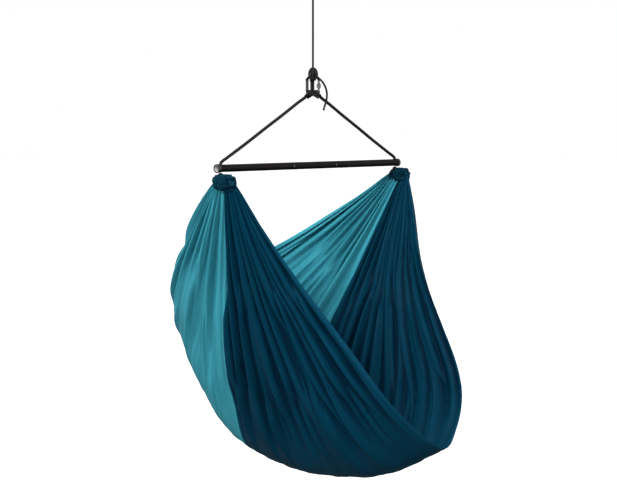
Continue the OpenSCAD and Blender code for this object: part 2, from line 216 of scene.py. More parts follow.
def circle(centre, radius, normal, steps=48):
    """A closed ring of points, the first one repeated at the end."""
    n = np.asarray(normal, float) / np.linalg.norm(normal)
    u = np.cross(n, [0, 1, 0] if abs(n[1]) < 0.9 else [1, 0, 0])
    u /= np.linalg.norm(u)
    w = np.cross(n, u)
    a = np.linspace(0, 2 * math.pi, steps + 1)[:, None]
    r = np.atleast_1d(radius)
    r = r if len(r) == 2 else np.repeat(r, 2)
    return np.asarray(centre, float) + r[0] * np.cos(a) * u + r[1] * np.sin(a) * w


# ---------- materials ----------

def nodes_of(name):
    material = bpy.data.materials.new(name)
    material.use_nodes = True
    return material, material.node_tree.nodes, material.node_tree.links


def noise_node(nodes, links, scale, detail=4.0, coord="Object", stretch=None, rough=0.55):
    source = nodes.new("ShaderNodeTexCoord").outputs[coord]
    if stretch:
        mapping = nodes.new("ShaderNodeMapping")
        mapping.inputs["Scale"].default_value = stretch
        links.new(source, mapping.inputs["Vector"])
        source = mapping.outputs["Vector"]
    made = nodes.new("ShaderNodeTexNoise")
    made.inputs["Scale"].default_value = scale
    made.inputs["Detail"].default_value = detail
    made.inputs["Roughness"].default_value = rough
    links.new(source, made.inputs["Vector"])
    return made.outputs["Fac"]


def mix_colour(nodes, links, fac, a, b):
    ramp = nodes.new("ShaderNodeValToRGB")
    ramp.color_ramp.elements[0].position = 0.3
    ramp.color_ramp.elements[1].position = 0.7
    ramp.color_ramp.elements[0].color = (*a, 1)
    ramp.color_ramp.elements[1].color = (*b, 1)
    links.new(fac, ramp.inputs["Fac"])
    return ramp.outputs["Color"]


def spread(nodes, links, value, low, high):
    made = nodes.new("ShaderNodeMapRange")
    made.inputs["From Min"].default_value = 0.3
    made.inputs["From Max"].default_value = 0.7
    made.inputs["To Min"].default_value = low
    made.inputs["To Max"].default_value = high
    links.new(value, made.inputs["Value"])
    return made.outputs["Result"]


def bump(nodes, links, height, distance, strength=1.0, under=None):
    made = nodes.new("ShaderNodeBump")
    made.inputs["Distance"].default_value = distance
    made.inputs["Strength"].default_value = strength
    links.new(height, made.inputs["Height"])
    if under is not None:
        links.new(under, made.inputs["Normal"])
    return made.outputs["Normal"]


def surface(name, a, b, rough, metallic=0.0, scale=60, grain=900, depth=0.00004, coat=0.0,
            specular=0.5, stretch=None):
    """Paint, plastic or metal: mottled colour and roughness with a fine grain."""
    material, nodes, links = nodes_of(name)
    shader = nodes["Principled BSDF"]
    broad = noise_node(nodes, links, scale, stretch=stretch)
    fine = noise_node(nodes, links, grain, detail=2.0, stretch=stretch)
    links.new(mix_colour(nodes, links, broad, a, b), shader.inputs["Base Color"])
    links.new(spread(nodes, links, broad, *rough), shader.inputs["Roughness"])
    links.new(bump(nodes, links, fine, depth), shader.inputs["Normal"])
    shader.inputs["Metallic"].default_value = metallic
    shader.inputs["Coat Weight"].default_value = coat
    shader.inputs["Specular IOR Level"].default_value = specular
    return material


def rope_material(name, a, b, sheen=0.25):
    """Braided cord with fine fibres; its colour is darkened in the grooves between its strands as painted
    shade.
    """
    material, nodes, links = nodes_of(name)
    shader = nodes["Principled BSDF"]
    # Painted shade: the colour is halved where the vertex lies deep between the strands
    groove_shade = nodes.new("ShaderNodeAttribute")
    groove_shade.attribute_name = "groove_shade"
    fibre = noise_node(nodes, links, 1400, detail=3.0)
    colour = mix_colour(nodes, links, fibre, a, b)
    painted_shade = nodes.new("ShaderNodeMix")
    painted_shade.data_type = "RGBA"
    painted_shade.blend_type = "MULTIPLY"
    painted_shade.inputs["B"].default_value = (0.5, 0.5, 0.5, 1)
    links.new(groove_shade.outputs["Fac"], painted_shade.inputs["Factor"])
    links.new(colour, painted_shade.inputs["A"])
    links.new(painted_shade.outputs["Result"], shader.inputs["Base Color"])
    links.new(spread(nodes, links, fibre, 0.5, 0.75), shader.inputs["Roughness"])
    links.new(bump(nodes, links, fibre, 0.00012), shader.inputs["Normal"])
    shader.inputs["Sheen Weight"].default_value = sheen
    shader.inputs["Sheen Roughness"].default_value = 0.4
    shader.inputs["Specular IOR Level"].default_value = 0.15
    return material


def thread(nodes, links, axis, pitch):
    """A sine along one of the cloth's own directions, 0 to 1, with that pitch in metres."""
    parts = nodes.new("ShaderNodeSeparateXYZ")
    links.new(nodes.new("ShaderNodeUVMap").outputs["UV"], parts.inputs["Vector"])
    scaled = nodes.new("ShaderNodeMath")
    scaled.operation = "MULTIPLY"
    scaled.inputs[1].default_value = 2 * math.pi / pitch
    links.new(parts.outputs[axis], scaled.inputs[0])
    wave = nodes.new("ShaderNodeMath")
    wave.operation = "SINE"
    links.new(scaled.outputs[0], wave.inputs[0])
    return wave.outputs[0]


def product(nodes, links, a, b, operation="MULTIPLY"):
    made = nodes.new("ShaderNodeMath")
    made.operation = operation
    for i, x in enumerate((a, b)):
        if isinstance(x, (int, float)):
            made.inputs[i].default_value = x
        else:
            links.new(x, made.inputs[i])
    return made.outputs[0]


def cloth_material(name, dark, light, through, stitched=False):
    """Thin nylon: plain weave, soft creases, some light through it, and painted shade: a colour darkened in
    the folds' valleys by a per-vertex attribute, standing in for the shade that falls there."""
    material, nodes, links = nodes_of(name)
    shader = nodes["Principled BSDF"]
    broad = noise_node(nodes, links, 9, detail=5.0, coord="UV", stretch=(0.5, 2.0, 1))
    crease = noise_node(nodes, links, 34, detail=6.0, coord="UV", stretch=(0.35, 1.6, 1), rough=0.6)
    colour = mix_colour(nodes, links, broad, dark, light)
    # Painted shade: the colour is multiplied towards a dark blue-grey in the folds' valleys
    valley_shade = nodes.new("ShaderNodeAttribute")
    valley_shade.attribute_name = "groove_shade"
    painted_shade = nodes.new("ShaderNodeMix")
    painted_shade.data_type = "RGBA"
    painted_shade.blend_type = "MULTIPLY"
    painted_shade.inputs["B"].default_value = (0.35, 0.42, 0.48, 1)
    links.new(valley_shade.outputs["Fac"], painted_shade.inputs["Factor"])
    links.new(colour, painted_shade.inputs["A"])
    colour = painted_shade.outputs["Result"]
    warp = thread(nodes, links, 0, 0.0011)
    weft = thread(nodes, links, 1, 0.0011)
    weave = product(nodes, links, warp, weft)
    links.new(spread(nodes, links, broad, 0.42, 0.58), shader.inputs["Roughness"])
    normal = bump(nodes, links, weave, 0.00006, 0.6)
    normal = bump(nodes, links, crease, 0.0035, 0.55, normal)
    if stitched:
        # Two rows of stitches, as short dents with lighter thread
        dash = product(nodes, links, thread(nodes, links, 0, 0.005), 0.1, "GREATER_THAN")
        row = product(nodes, links, thread(nodes, links, 1, 0.007), 0.8, "GREATER_THAN")
        stitch = product(nodes, links, dash, row)
        lighter = nodes.new("ShaderNodeMix")
        lighter.data_type = "RGBA"
        lighter.inputs["B"].default_value = tuple(min(1, 1.8 * x + 0.01) for x in light) + (1,)
        links.new(stitch, lighter.inputs["Factor"])
        links.new(colour, lighter.inputs["A"])
        colour = lighter.outputs["Result"]
        normal = bump(nodes, links, stitch, 0.0004, 0.8, normal)
    links.new(colour, shader.inputs["Base Color"])
    links.new(normal, shader.inputs["Normal"])
    shader.inputs["Specular IOR Level"].default_value = 0.03
    if through:
        glow = nodes.new("ShaderNodeBsdfTranslucent")
        links.new(colour, glow.inputs["Color"])
        links.new(normal, glow.inputs["Normal"])
        both = nodes.new("ShaderNodeMixShader")
        both.inputs["Fac"].default_value = through
        links.new(shader.outputs["BSDF"], both.inputs[1])
        links.new(glow.outputs["BSDF"], both.inputs[2])
        links.new(both.outputs["Shader"], nodes["Material Output"].inputs["Surface"])
    return material


TEAL_DARK, TEAL_LIGHT = (0.050, 0.352, 0.445), (0.062, 0.415, 0.515)
PETROL_DARK, PETROL_LIGHT = (0.0006, 0.034, 0.066), (0.0012, 0.045, 0.087)
teal = cloth_material("turquoise_nylon", TEAL_DARK, TEAL_LIGHT, 0.22)
petrol = cloth_material("petrol_nylon", PETROL_DARK, PETROL_LIGHT, 0.15)
# Painted shade: a darker copy of the petrol nylon, for the shade deep in the scrunched gathers
shaded_channel_cloth = cloth_material("channel_nylon_painted_shade", (0.0006, 0.018, 0.034), (0.002, 0.034, 0.055), 0)
teal_hem = cloth_material("turquoise_hem", TEAL_DARK, TEAL_LIGHT, 0, stitched=True)
petrol_hem = cloth_material("petrol_hem", PETROL_DARK, PETROL_LIGHT, 0, stitched=True)
black_rope = rope_material("black_rope", (0.006, 0.006, 0.0065), (0.015, 0.015, 0.016), 0.03)
loop_rope = rope_material("grey_rope", (0.05, 0.055, 0.058), (0.10, 0.11, 0.11))
anodised = surface("anodised_aluminium", (0.045, 0.045, 0.048), (0.075, 0.075, 0.08), (0.28, 0.42),
                   metallic=0.8, scale=120, grain=2500, depth=0.00002)
gate_metal = surface("gate_aluminium", (0.09, 0.09, 0.095), (0.13, 0.13, 0.135), (0.25, 0.4),
                     metallic=0.85, scale=140, grain=2500, depth=0.00002)
sleeve_metal = surface("sleeve_aluminium", (0.10, 0.10, 0.105), (0.15, 0.15, 0.155), (0.3, 0.45),
                       metallic=0.8, scale=140, grain=2000, depth=0.00003)
steel = surface("bright_steel", (0.45, 0.45, 0.46), (0.60, 0.60, 0.61), (0.2, 0.35), metallic=1.0,
                scale=200, grain=3000, depth=0.00001)
button_steel = surface("dull_steel", (0.10, 0.10, 0.10), (0.16, 0.16, 0.16), (0.35, 0.5), metallic=1.0,
                       scale=200, grain=3000, depth=0.00001)
raw_tube = surface("raw_aluminium", (0.50, 0.50, 0.51), (0.66, 0.66, 0.67), (0.25, 0.45), metallic=1.0,
                   scale=40, grain=1500, depth=0.00002, stretch=(0.1, 1, 1))
plastic = surface("ring_plastic", (0.010, 0.010, 0.010), (0.020, 0.019, 0.019), (0.35, 0.5), scale=150,
                  grain=1800, depth=0.00004)


def painted_tube():
    """Dark paint outside the tube and bare aluminium in its bore."""
    material = surface("painted_tube", (0.0045, 0.0030, 0.0028), (0.008, 0.0056, 0.005), (0.38, 0.5),
                       scale=70, grain=1200, depth=0.00003, specular=0.1)
    nodes, links = material.node_tree.nodes, material.node_tree.links
    shader = nodes["Principled BSDF"]
    parts = nodes.new("ShaderNodeSeparateXYZ")
    links.new(nodes.new("ShaderNodeTexCoord").outputs["Object"], parts.inputs["Vector"])
    up = product(nodes, links, parts.outputs["Z"], bar_z, "SUBTRACT")
    y2 = product(nodes, links, parts.outputs["Y"], parts.outputs["Y"])
    z2 = product(nodes, links, up, up)
    inside = product(nodes, links, product(nodes, links, y2, z2, "ADD"), 0.0114**2, "LESS_THAN")
    paint = shader.inputs["Base Color"].links[0].from_socket
    mix = nodes.new("ShaderNodeMix")
    mix.data_type = "RGBA"
    mix.inputs["B"].default_value = (0.55, 0.55, 0.56, 1)
    links.new(inside, mix.inputs["Factor"])
    links.new(paint, mix.inputs["A"])
    links.new(mix.outputs["Result"], shader.inputs["Base Color"])
    return material


tube_paint = painted_tube()


def finish_node(material, *names):
    for name in names:
        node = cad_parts[name]
        node.data.materials.clear()
        node.data.materials.append(material)


finish_node(anodised, "carabiner_body")
finish_node(gate_metal, "carabiner_gate")
finish_node(sleeve_metal, "gate_sleeve")
finish_node(steel, "gate_pin", "latch_pin", "gate_spring", "button_spring_left", "button_spring_right")
finish_node(button_steel, "snap_button_left", "snap_button_right")
finish_node(tube_paint, "bar_left", "bar_right")
finish_node(raw_tube, "bar_connector")
finish_node(plastic, "bar_end_ring_left", "bar_end_ring_right")


# ---------- camera ----------

# It stands in front of the chair's left end, a little above the bar, and looks slightly down
CAMERA_AT = (-3.597, -3.473, bar_z + 0.165)
CAMERA_TILT = math.radians(84.75)
CAMERA_YAW = math.radians(-45.83)
LENS_MM = 84.25
camera = bpy.data.objects.new("camera", bpy.data.cameras.new("camera"))
scene.collection.objects.link(camera)
camera.data.sensor_width = 36
camera.data.lens = LENS_MM
camera.location = CAMERA_AT
camera.rotation_euler = (CAMERA_TILT, 0, CAMERA_YAW)
camera.data.clip_end = 60
scene.camera = camera


# ---------- cords and knots ----------

cord_r = 0.0035
BRIDLE_R = 0.0054                 # drawn a little thicker than the CAD rope's 0.005
FINE_BRAID = 0.00016              # depth of the braid's grooves on the thin cord
cord_path = np.linspace([0, 0, cord_low - 0.001], [0, 0, cord_high + 0.001], 30)
hanging = rope("cord_braided", [cord_path], cord_r, "cord", black_rope, FINE_BRAID, ["hanging_cord"])

leg = np.array([4, 0, 12]) / math.hypot(4, 12) * 12.8
half = [[leg[0], 0, -84 + leg[2]], [11, 0, -58], [17, 0, -38], [16, 0, -14]]
loop_points = half + [[9, 0, 0], [0, 0, 3.5], [-9, 0, 0]] + [[-x, y, z] for x, y, z in half[::-1]]
loop_path = spline(np.array(loop_points) * 0.001 + [0, 0, top_knot_z + 0.084], np.linspace(0, 1, 120))
rope("top_loop_braided", [loop_path], cord_r, "hook_loop", black_rope, FINE_BRAID, ["top_loop"])

# Barrel of three turns round the standing cord, with the cord's short end below it
a = np.linspace(0, 2 * math.pi * 3.15, 160)
turns = np.stack([0.0088 * np.cos(a), 0.0088 * np.sin(a), 0.0075 - 0.0155 * a / a[-1]], 1)
core = np.array([[0, 0, 0.011], [0, 0, -0.0112]])
top_knot = rope("top_knot_tied", [turns + [0, 0, top_knot_z], core + [0, 0, top_knot_z]], 0.0037,
                "loop_knot", black_rope, FINE_BRAID, ["top_knot"])


def trefoil(centre, size, tilt=0.0):
    a = np.linspace(0, 2 * math.pi, 121)
    p = np.stack([np.sin(a) + 2 * np.sin(2 * a), -np.sin(3 * a), np.cos(a) - 2 * np.cos(2 * a)], 1)
    c, s = math.cos(tilt), math.sin(tilt)
    p = np.stack([p[:, 0] * c - p[:, 1] * s, p[:, 0] * s + p[:, 1] * c, p[:, 2]], 1)
    return p * size / 3 + np.asarray(centre, float)


# Knot that ties the cord to the carabiner: turns on the roof and one corner, a barrel above them, five
# upright strands round it with short ones filling its middle, and a doubled strand inside the carabiner
roof = 60.0
wrap = 8.7
knot_paths = []
for u, low in ((-7.3, 4), (0, 4), (7.3, 0)):
    knot_paths.append(at_carabiner(circle([u, 0, roof - low], [wrap + 0.8, wrap + low], [1, 0, 0])))
knot_paths.append(at_carabiner(circle([-16.5, 0, 56.5], wrap, [0.7, 0, -0.7])))
a = np.linspace(0, 2 * math.pi * 2.9, 220)
grow = 8.0 + 4.6 * between(a / a[-1], 0.0, 0.55)
barrel = np.stack([grow * np.cos(a + 2.4), grow * np.sin(a + 2.4), 86.5 - 16 * a / a[-1]], 1)
knot_paths.append(at_carabiner(barrel))
for u, w in ((-11.5, -9), (0, -11.5), (9.5, -10), (-2, 12.5), (12.5, 3)):
    upright = [[0.25 * u, 0.25 * w, 90], [0.75 * u, 0.7 * w, 85], [u * 1.1, w * 1.25, 75],
               [u * 1.15, w * 1.3, 66], [u, 0.8 * w, 57]]
    knot_paths.append(at_carabiner(spline(upright, np.linspace(0, 1, 40))))
knot_paths.append(at_carabiner([[0, 0, 70], [0, 0, 93.2]]))
for u, w in ((-5, -4), (5, -4), (0, 6), (0, -7)):
    knot_paths.append(at_carabiner([[u, w, 67], [0.9 * u, 0.9 * w, 85]]))
for u in (-5.5, 1.5):
    knot_paths.append(at_carabiner([[u, 0, 6.5], [u, 0, 60]]))
rope("carabiner_knot_tied", knot_paths, 0.0036, "hanger", black_rope, FINE_BRAID, ["carabiner_knot"])

tail_points = [[10.6, -11.4, 62], [17, -12.5, 58], [26, -11, 50], [36, -9, 38], [44, -7, 22],
               [48, -6, 2], [46, -6, -20], [39, -6, -44]]
tail_path = at_carabiner(spline(tail_points, np.linspace(0, 1, 90)))
tail = rope("cord_tail_braided", [tail_path], cord_r, "hanger", black_rope, FINE_BRAID, ["cord_tail"])
tail_end = at_carabiner([[37.5, -6, -49.2]])[0]
tail_knot = rope("tail_knot_tied", [trefoil(tail_end, 0.0035, 0.8)], 0.0026, "hanger", black_rope,
                 0.0002, ["tail_knot"], closed=True)

# Hitch of the bridle rope round the carabiner's basket
hitch_paths = []
for s in (-1, 1):
    tilt = math.radians(90 - 45 * s)
    lobe = circle([s * 16.5, 0, 3.5], 11.2, [math.sin(tilt), 0, math.cos(tilt)])
    hitch_paths.append(at_carabiner(lobe))
cross = [[-20, -11.2, 14], [-13, -11.8, 10], [-5, -12.3, 4], [5, -12.3, -2], [13, -11.8, -7],
         [20, -11.2, -11]]
hitch_paths_open = [at_carabiner(spline(cross, np.linspace(0, 1, 50))),
                    at_carabiner(spline([[-x, -y, z] for x, y, z in cross], np.linspace(0, 1, 50)))]
made = joined([tube(p, 0.005, braid=0.00022, closed=True) for p in hitch_paths]
              + [tube(p, 0.0048, braid=0.00022) for p in hitch_paths_open])
mesh_piece("bridle_hitch_tied", made[0], made[1], "bar", black_rope, ["bridle_hitch"], groove_shade=made[2])

leg_points = [[-16, 20, 236], [-24, 18, 231], [-60, 15, 214], [-140, 11, 171], [-220, 8, 129], [-300, 5, 86],
              [-370, 2, 50], [-404, 0, 33], [-420, 0, 25], [-429.5, 0, 18], [-432, 0, 9],
              [-432, 0, -2], [-432, 0, -12]]
for side, name in ((-1, "left"), (1, "right")):
    p = spline(leg_points, np.linspace(0, 1, 200)) * 0.001 * [-side, -side, 1] + [0, 0, bar_z]
    rope(f"bridle_{name}_braided", [p], BRIDLE_R, "bar", black_rope, 0.00022, [f"bridle_{name}"])
    rope(f"stopper_knot_{name}_tied", [trefoil([side * rope_x, 0, knot_z], 0.0058)], 0.0034, "bar",
         black_rope, 0.0003, [f"stopper_knot_{name}"], closed=True)


# ---------- sling ----------

GATHER_Y, GATHER_Z, GATHER_RY, GATHER_RZ = -0.021, -0.044, 0.042, 0.020
OUTLINE = [[0.79, 0.36], [1.0, 0.53], [0.87, 0.76], [0.60, 0.93], [0.15, 1.0], [-0.29, 0.99],
           [-0.64, 0.94], [-1.0, 0.83]]
ROUNDNESS = [2.4, 1.6, 1.55, 1.6]
BACK, FRONT, DROP, LEAN, SEAM = 0.625, 0.62, 1.075, 0.025, 0.48


def gather(v):
    a = np.radians(20 - 220 * np.asarray(v, float))
    return GATHER_Y + GATHER_RY * np.cos(a), GATHER_Z + GATHER_RZ * np.sin(a)


def cloth(t, v):
    """Middle surface of the sling for arrays t (rows) and v (columns)."""
    p = spline(OUTLINE, v)
    q = 1 - np.abs(t)[:, None] ** spline(ROUNDNESS, v)[:, 0][None]
    gy, gz = gather(v)
    y = np.where(p[:, 0] > 0, p[:, 0] * BACK, p[:, 0] * FRONT)
    front = between(v, 0.5, 0.85)[None] * between(t, 0, 0.3)[:, None]
    swell = front * (0.06 * np.exp(-((q - 0.80) / 0.17) ** 2) - 0.045 * np.exp(-((q - 0.34) / 0.2) ** 2))
    return np.stack([rope_x * t[:, None] - LEAN * q + swell, y * q + gy * (1 - q),
                     bar_z - DROP * p[:, 1] * q + gz * (1 - q)], -1)


def normals(grid):
    n = np.cross(np.gradient(grid, axis=0), np.gradient(grid, axis=1))
    return n / np.maximum(np.linalg.norm(n, axis=-1), 1e-9)[..., None]


ROWS, COLS = 130, 420
rows = 0.9985 * np.sin(np.linspace(-math.pi / 2, math.pi / 2, ROWS + 1))
cols = np.linspace(0, 1, COLS + 1)
base = cloth(rows, cols)
across = np.concatenate([np.zeros((ROWS + 1, 1)),
                         np.cumsum(np.linalg.norm(np.diff(base, axis=1), axis=2), 1)], 1)
width = across[:, -1]
flat_width = float(width.max())
share = across[ROWS // 2] / across[ROWS // 2, -1]
lengths = np.linalg.norm(np.diff(base, axis=0), axis=2).sum(0)
down = np.concatenate([np.zeros((1, COLS + 1)),
                       np.cumsum(np.linalg.norm(np.diff(base, axis=0), axis=2), 0)]) - lengths / 2


TAPER = 1 - 0.3 * np.abs(rows) ** 3       # the cut is narrower at its ends


def folded(grid):
    """The sling's surface with the folds that its spare width makes, deep at the gathers.
    Each row is folded until it is as long across as the flat cloth, or as tight as it can bunch."""
    side = (np.sign(rows)[:, None] * np.ones_like(share)[None]) > 0
    near = np.abs(rows)[:, None]
    height = 0
    for count, strength, seed in ((12, 0.1, 1), (28, 1.15, 2), (54, 0.6, 3)):
        x = share[None] * count * 2 + 40 * side
        shape = noise(x, near * 3.5 + seed, seed + 10)
        height = height + shape * strength * (width / count)[:, None]
    calm = 0.35 + 0.65 * between(np.minimum(share, 1 - share)[None] * flat_width, 0, 0.06)
    calm = calm * (1 - 0.5 * (1 - between(share, 0.25, 0.4))[None] * between(1 - near, 0.1, 0.4))
    height = height * calm
    cut = flat_width * TAPER
    spare = 0.002 + 0.045 * between(np.abs(rows), 0.1, 0.5)
    wanted = width + 0.95 * (np.clip(cut, width, 3.2 * width) - width) + spare * width
    out = normals(grid)
    scale = np.full(len(rows), 1.0)
    for _ in range(12):
        made = grid + out * (height * scale[:, None])[..., None]
        got = np.linalg.norm(np.diff(made, axis=1), axis=2).sum(1)
        scale *= np.clip(np.sqrt((wanted / width - 1) / np.maximum(got / width - 1, 1e-4)), 0.6, 1.6)
    scale = np.convolve(np.pad(scale, 4, mode="edge"), np.ones(9) / 9, mode="valid")
    limit = 0.007 + 0.012 * between(1 - np.abs(rows), 0, 0.08)
    height = height * (scale * (0.2 + 0.8 * between(np.abs(rows), 0.05, 0.45)))[:, None]
    height = limit[:, None] * np.tanh(height / limit[:, None])
    return grid + out * height[..., None]


def draped(grid, frames=16):
    """The folded sling after it has hung in Blender's cloth simulation, held at its gathers."""
    r, c = grid.shape[:2]
    i, j = np.meshgrid(np.arange(r - 1), np.arange(c - 1), indexing="ij")
    a = i * c + j
    data = bpy.data.meshes.new("sling_to_drape")
    data.from_pydata(grid.reshape(-1, 3).tolist(), [], np.stack([a, a + c, a + c + 1, a + 1], -1)
                     .reshape(-1, 4).tolist())
    data.update()
    work = bpy.data.objects.new("sling_to_drape", data)
    scene.collection.objects.link(work)
    hold = work.vertex_groups.new(name="hold")
    for row in range(r):
        end = float(between(abs(rows[row]), 0.955, 0.985))
        weight = 1.0 if end > 0.98 else HOLD + (0.9 - HOLD) * end
        hold.add(list(range(row * c, row * c + c)), weight, "REPLACE")
    settings = work.modifiers.new("Cloth", "CLOTH").settings
    settings.quality = 5
    settings.mass = 0.02
    settings.tension_stiffness = settings.compression_stiffness = 25
    settings.shear_stiffness = 4
    settings.bending_stiffness = 0.05
    settings.tension_damping = settings.compression_damping = 12
    settings.shear_damping = 3
    settings.air_damping = 2
    settings.vertex_group_mass = "hold"
    settings.pin_stiffness = 1
    cache = work.modifiers["Cloth"].point_cache
    cache.frame_start, cache.frame_end = 1, frames
    for frame_number in range(1, frames + 1):
        scene.frame_set(frame_number)
    graph = bpy.context.evaluated_depsgraph_get()
    shape = work.evaluated_get(graph).to_mesh()
    flat_points = np.empty(r * c * 3)
    shape.vertices.foreach_get("co", flat_points)
    work.evaluated_get(graph).to_mesh_clear()
    bpy.data.objects.remove(work)
    scene.frame_set(1)
    return flat_points.reshape(r, c, 3)


HOLD = 0.12
OUTSIDE = np.sign((normals(base)[ROWS // 2, COLS // 2] * np.array([0, 0, -1.0])).sum())
sling = folded(base)
sling = draped(sling)


def sheet_mesh(grid, thickness, u, v, deep):
    """A closed thin sheet over a grid of points, with its own directions as UV, in metres."""
    n = normals(grid)
    r, c = grid.shape[:2]
    layers = np.concatenate([(grid + n * thickness / 2).reshape(-1, 3),
                             (grid - n * thickness / 2).reshape(-1, 3)])
    i, j = np.meshgrid(np.arange(r - 1), np.arange(c - 1), indexing="ij")
    a, b, d, e = i * c + j, (i + 1) * c + j, (i + 1) * c + j + 1, i * c + j + 1
    top = np.stack([a, b, d, e], -1).reshape(-1, 4)
    low = np.stack([e, d, b, a], -1).reshape(-1, 4) + r * c
    rim = np.concatenate([np.arange(c), np.arange(1, r) * c + c - 1,
                          (r - 1) * c + np.arange(c - 2, -1, -1), np.arange(r - 2, 0, -1) * c])
    nxt = np.roll(rim, -1)
    edge = np.stack([rim, nxt, nxt + r * c, rim + r * c], -1)
    uv = np.stack([u, v], -1).reshape(-1, 2)
    # Painted shade in the folds' valleys, for the sheet's outer and inner faces
    groove_shade = (deep if OUTSIDE > 0 else deep[::-1]).ravel()
    return layers, np.concatenate([top, low, edge]), np.concatenate([uv, uv]), groove_shade


def strip(grid, at, half_width, thickness, points=7):
    """A flat band that follows the sling at flat place `at`, in metres across the cloth."""
    flat = share * flat_width
    places = at + np.linspace(-half_width, half_width, points)
    wide = np.stack([np.stack([np.interp(places, flat, grid[i, :, k]) for k in range(3)], -1)
                     for i in range(len(grid))])
    beyond = (places < flat[0]) | (places > flat[-1])
    for k in np.where(beyond)[0]:
        ref = 0 if places[k] < flat[0] else -1
        off = places[k] - flat[ref]
        out = grid[:, 0] - grid[:, 1] if ref == 0 else grid[:, -1] - grid[:, -2]
        out = out / np.maximum(np.linalg.norm(out, axis=1), 1e-9)[:, None]
        wide[:, k] = grid[:, ref] + out * abs(off) * (width / flat_width)[:, None]
    n = normals(wide)
    crown = thickness / 2 * np.sqrt(np.clip(1 - np.linspace(-1, 1, points) ** 4, 0.04, 1))
    up, low = wide + n * crown[None, :, None], wide - n * crown[None, :, None]
    ring = np.concatenate([up, low[:, ::-1]], 1)
    r, c = ring.shape[:2]
    i, j = np.meshgrid(np.arange(r - 1), np.arange(c), indexing="ij")
    a, b = i * c + j, (i + 1) * c + j
    d, e = (i + 1) * c + (j + 1) % c, i * c + (j + 1) % c
    faces = np.stack([a, b, d, e], -1).reshape(-1, 4).tolist()
    faces += [list(range(c))[::-1], list((r - 1) * c + np.arange(c))]
    along = np.interp(places, flat, np.arange(COLS + 1)).round().astype(int)
    u = down[:, along]
    u = np.concatenate([u, u[:, ::-1]], 1)
    v = np.broadcast_to(np.concatenate([places - at, (places - at)[::-1]]), u.shape)
    return ring.reshape(-1, 3), faces, np.stack([u, v], -1).reshape(-1, 2)


def valleys(grid, reach=9):
    """How deep each point lies in a fold of its row, 0 to 1, seen from outside and from inside; used as
    painted shade.
    """
    pad = np.pad(grid, ((0, 0), (reach, reach), (0, 0)), mode="edge")
    total = np.concatenate([np.zeros((len(grid), 1, 3)), np.cumsum(pad, 1)], 1)
    mean = (total[:, 2 * reach + 1:] - total[:, :-2 * reach - 1]) / (2 * reach + 1)
    away = ((grid - mean) * normals(base)).sum(-1) * OUTSIDE
    full = 0.0035 * np.maximum(width[:, None] / flat_width, 0.15)
    fade = between(np.abs(rows), 0.1, 0.5)[:, None]
    return np.stack([fade * between(-away, 0.0002, full), fade * between(away, 0.0002, full)])


CLOTH_THICK = 0.0006              # drawn thicker than real nylon, so that its two faces stay apart
TEAL_VALLEY_SHADE = 0.4                 # painted shade in the pale panel's valleys is weaker than in the dark one's
# How much painted shade each point of the cloth gets in its folds' valleys
depth = valleys(sling)
seam_col = int(round(np.interp(SEAM, cols, np.arange(COLS + 1))))
flat_at = share * flat_width
u_grid, v_grid = down, np.broadcast_to(flat_at, down.shape)
verts, faces, uv, groove_shade = sheet_mesh(sling[:, :seam_col + 1], CLOTH_THICK, u_grid[:, :seam_col + 1],
                                      v_grid[:, :seam_col + 1],
                                      TEAL_VALLEY_SHADE * depth[..., :seam_col + 1])
back_cloth = mesh_piece("back_cloth", verts, faces, "sling", teal, ["back_panel"], uv, groove_shade)
verts, faces, uv, groove_shade = sheet_mesh(sling[:, seam_col:], CLOTH_THICK, u_grid[:, seam_col:],
                                      v_grid[:, seam_col:], depth[..., seam_col:])
seat_cloth = mesh_piece("seat_cloth", verts, faces, "sling", petrol, ["seat_panel"], uv, groove_shade)
hem = 0.009
verts, faces, uv = strip(sling, hem, hem, 0.0024)
back_hem = mesh_piece("back_hem_sewn", verts, faces, "sling", teal_hem, ["back_hem"], uv)
verts, faces, uv = strip(sling, flat_width - hem, hem, 0.0024)
front_hem = mesh_piece("front_hem_sewn", verts, faces, "sling", petrol_hem, ["front_hem"], uv)
verts, faces, uv = strip(sling, flat_at[seam_col], 0.006, 0.0020)
mesh_piece("panel_seam_sewn", verts, faces, "sling", petrol_hem, ["panel_seam"], uv)


# Ends of the cloth, sewn into channels and scrunched on their loops
GATHER_R = 0.016                  # the ring's round part
GATHER_STRETCH = 0.022            # how much further it reaches along Y
SQUARENESS = 0.15                 # lower numbers make the ring's long sides straighter
FULL_REACH = 1.072                # brings the stretch back to its full length at the ring's ends


def ring_path(side, low, high, steps):
    """The gather's oblong ring between two angles in degrees."""
    a = np.radians(np.linspace(low, high, steps))
    c = np.cos(a)
    oblong = FULL_REACH * c / np.sqrt(c * c + SQUARENESS)
    return np.stack([np.full(steps, side * rope_x), GATHER_Y + GATHER_STRETCH * oblong + GATHER_R * c,
                     bar_z + GATHER_Z + GATHER_R * np.sin(a)], 1)


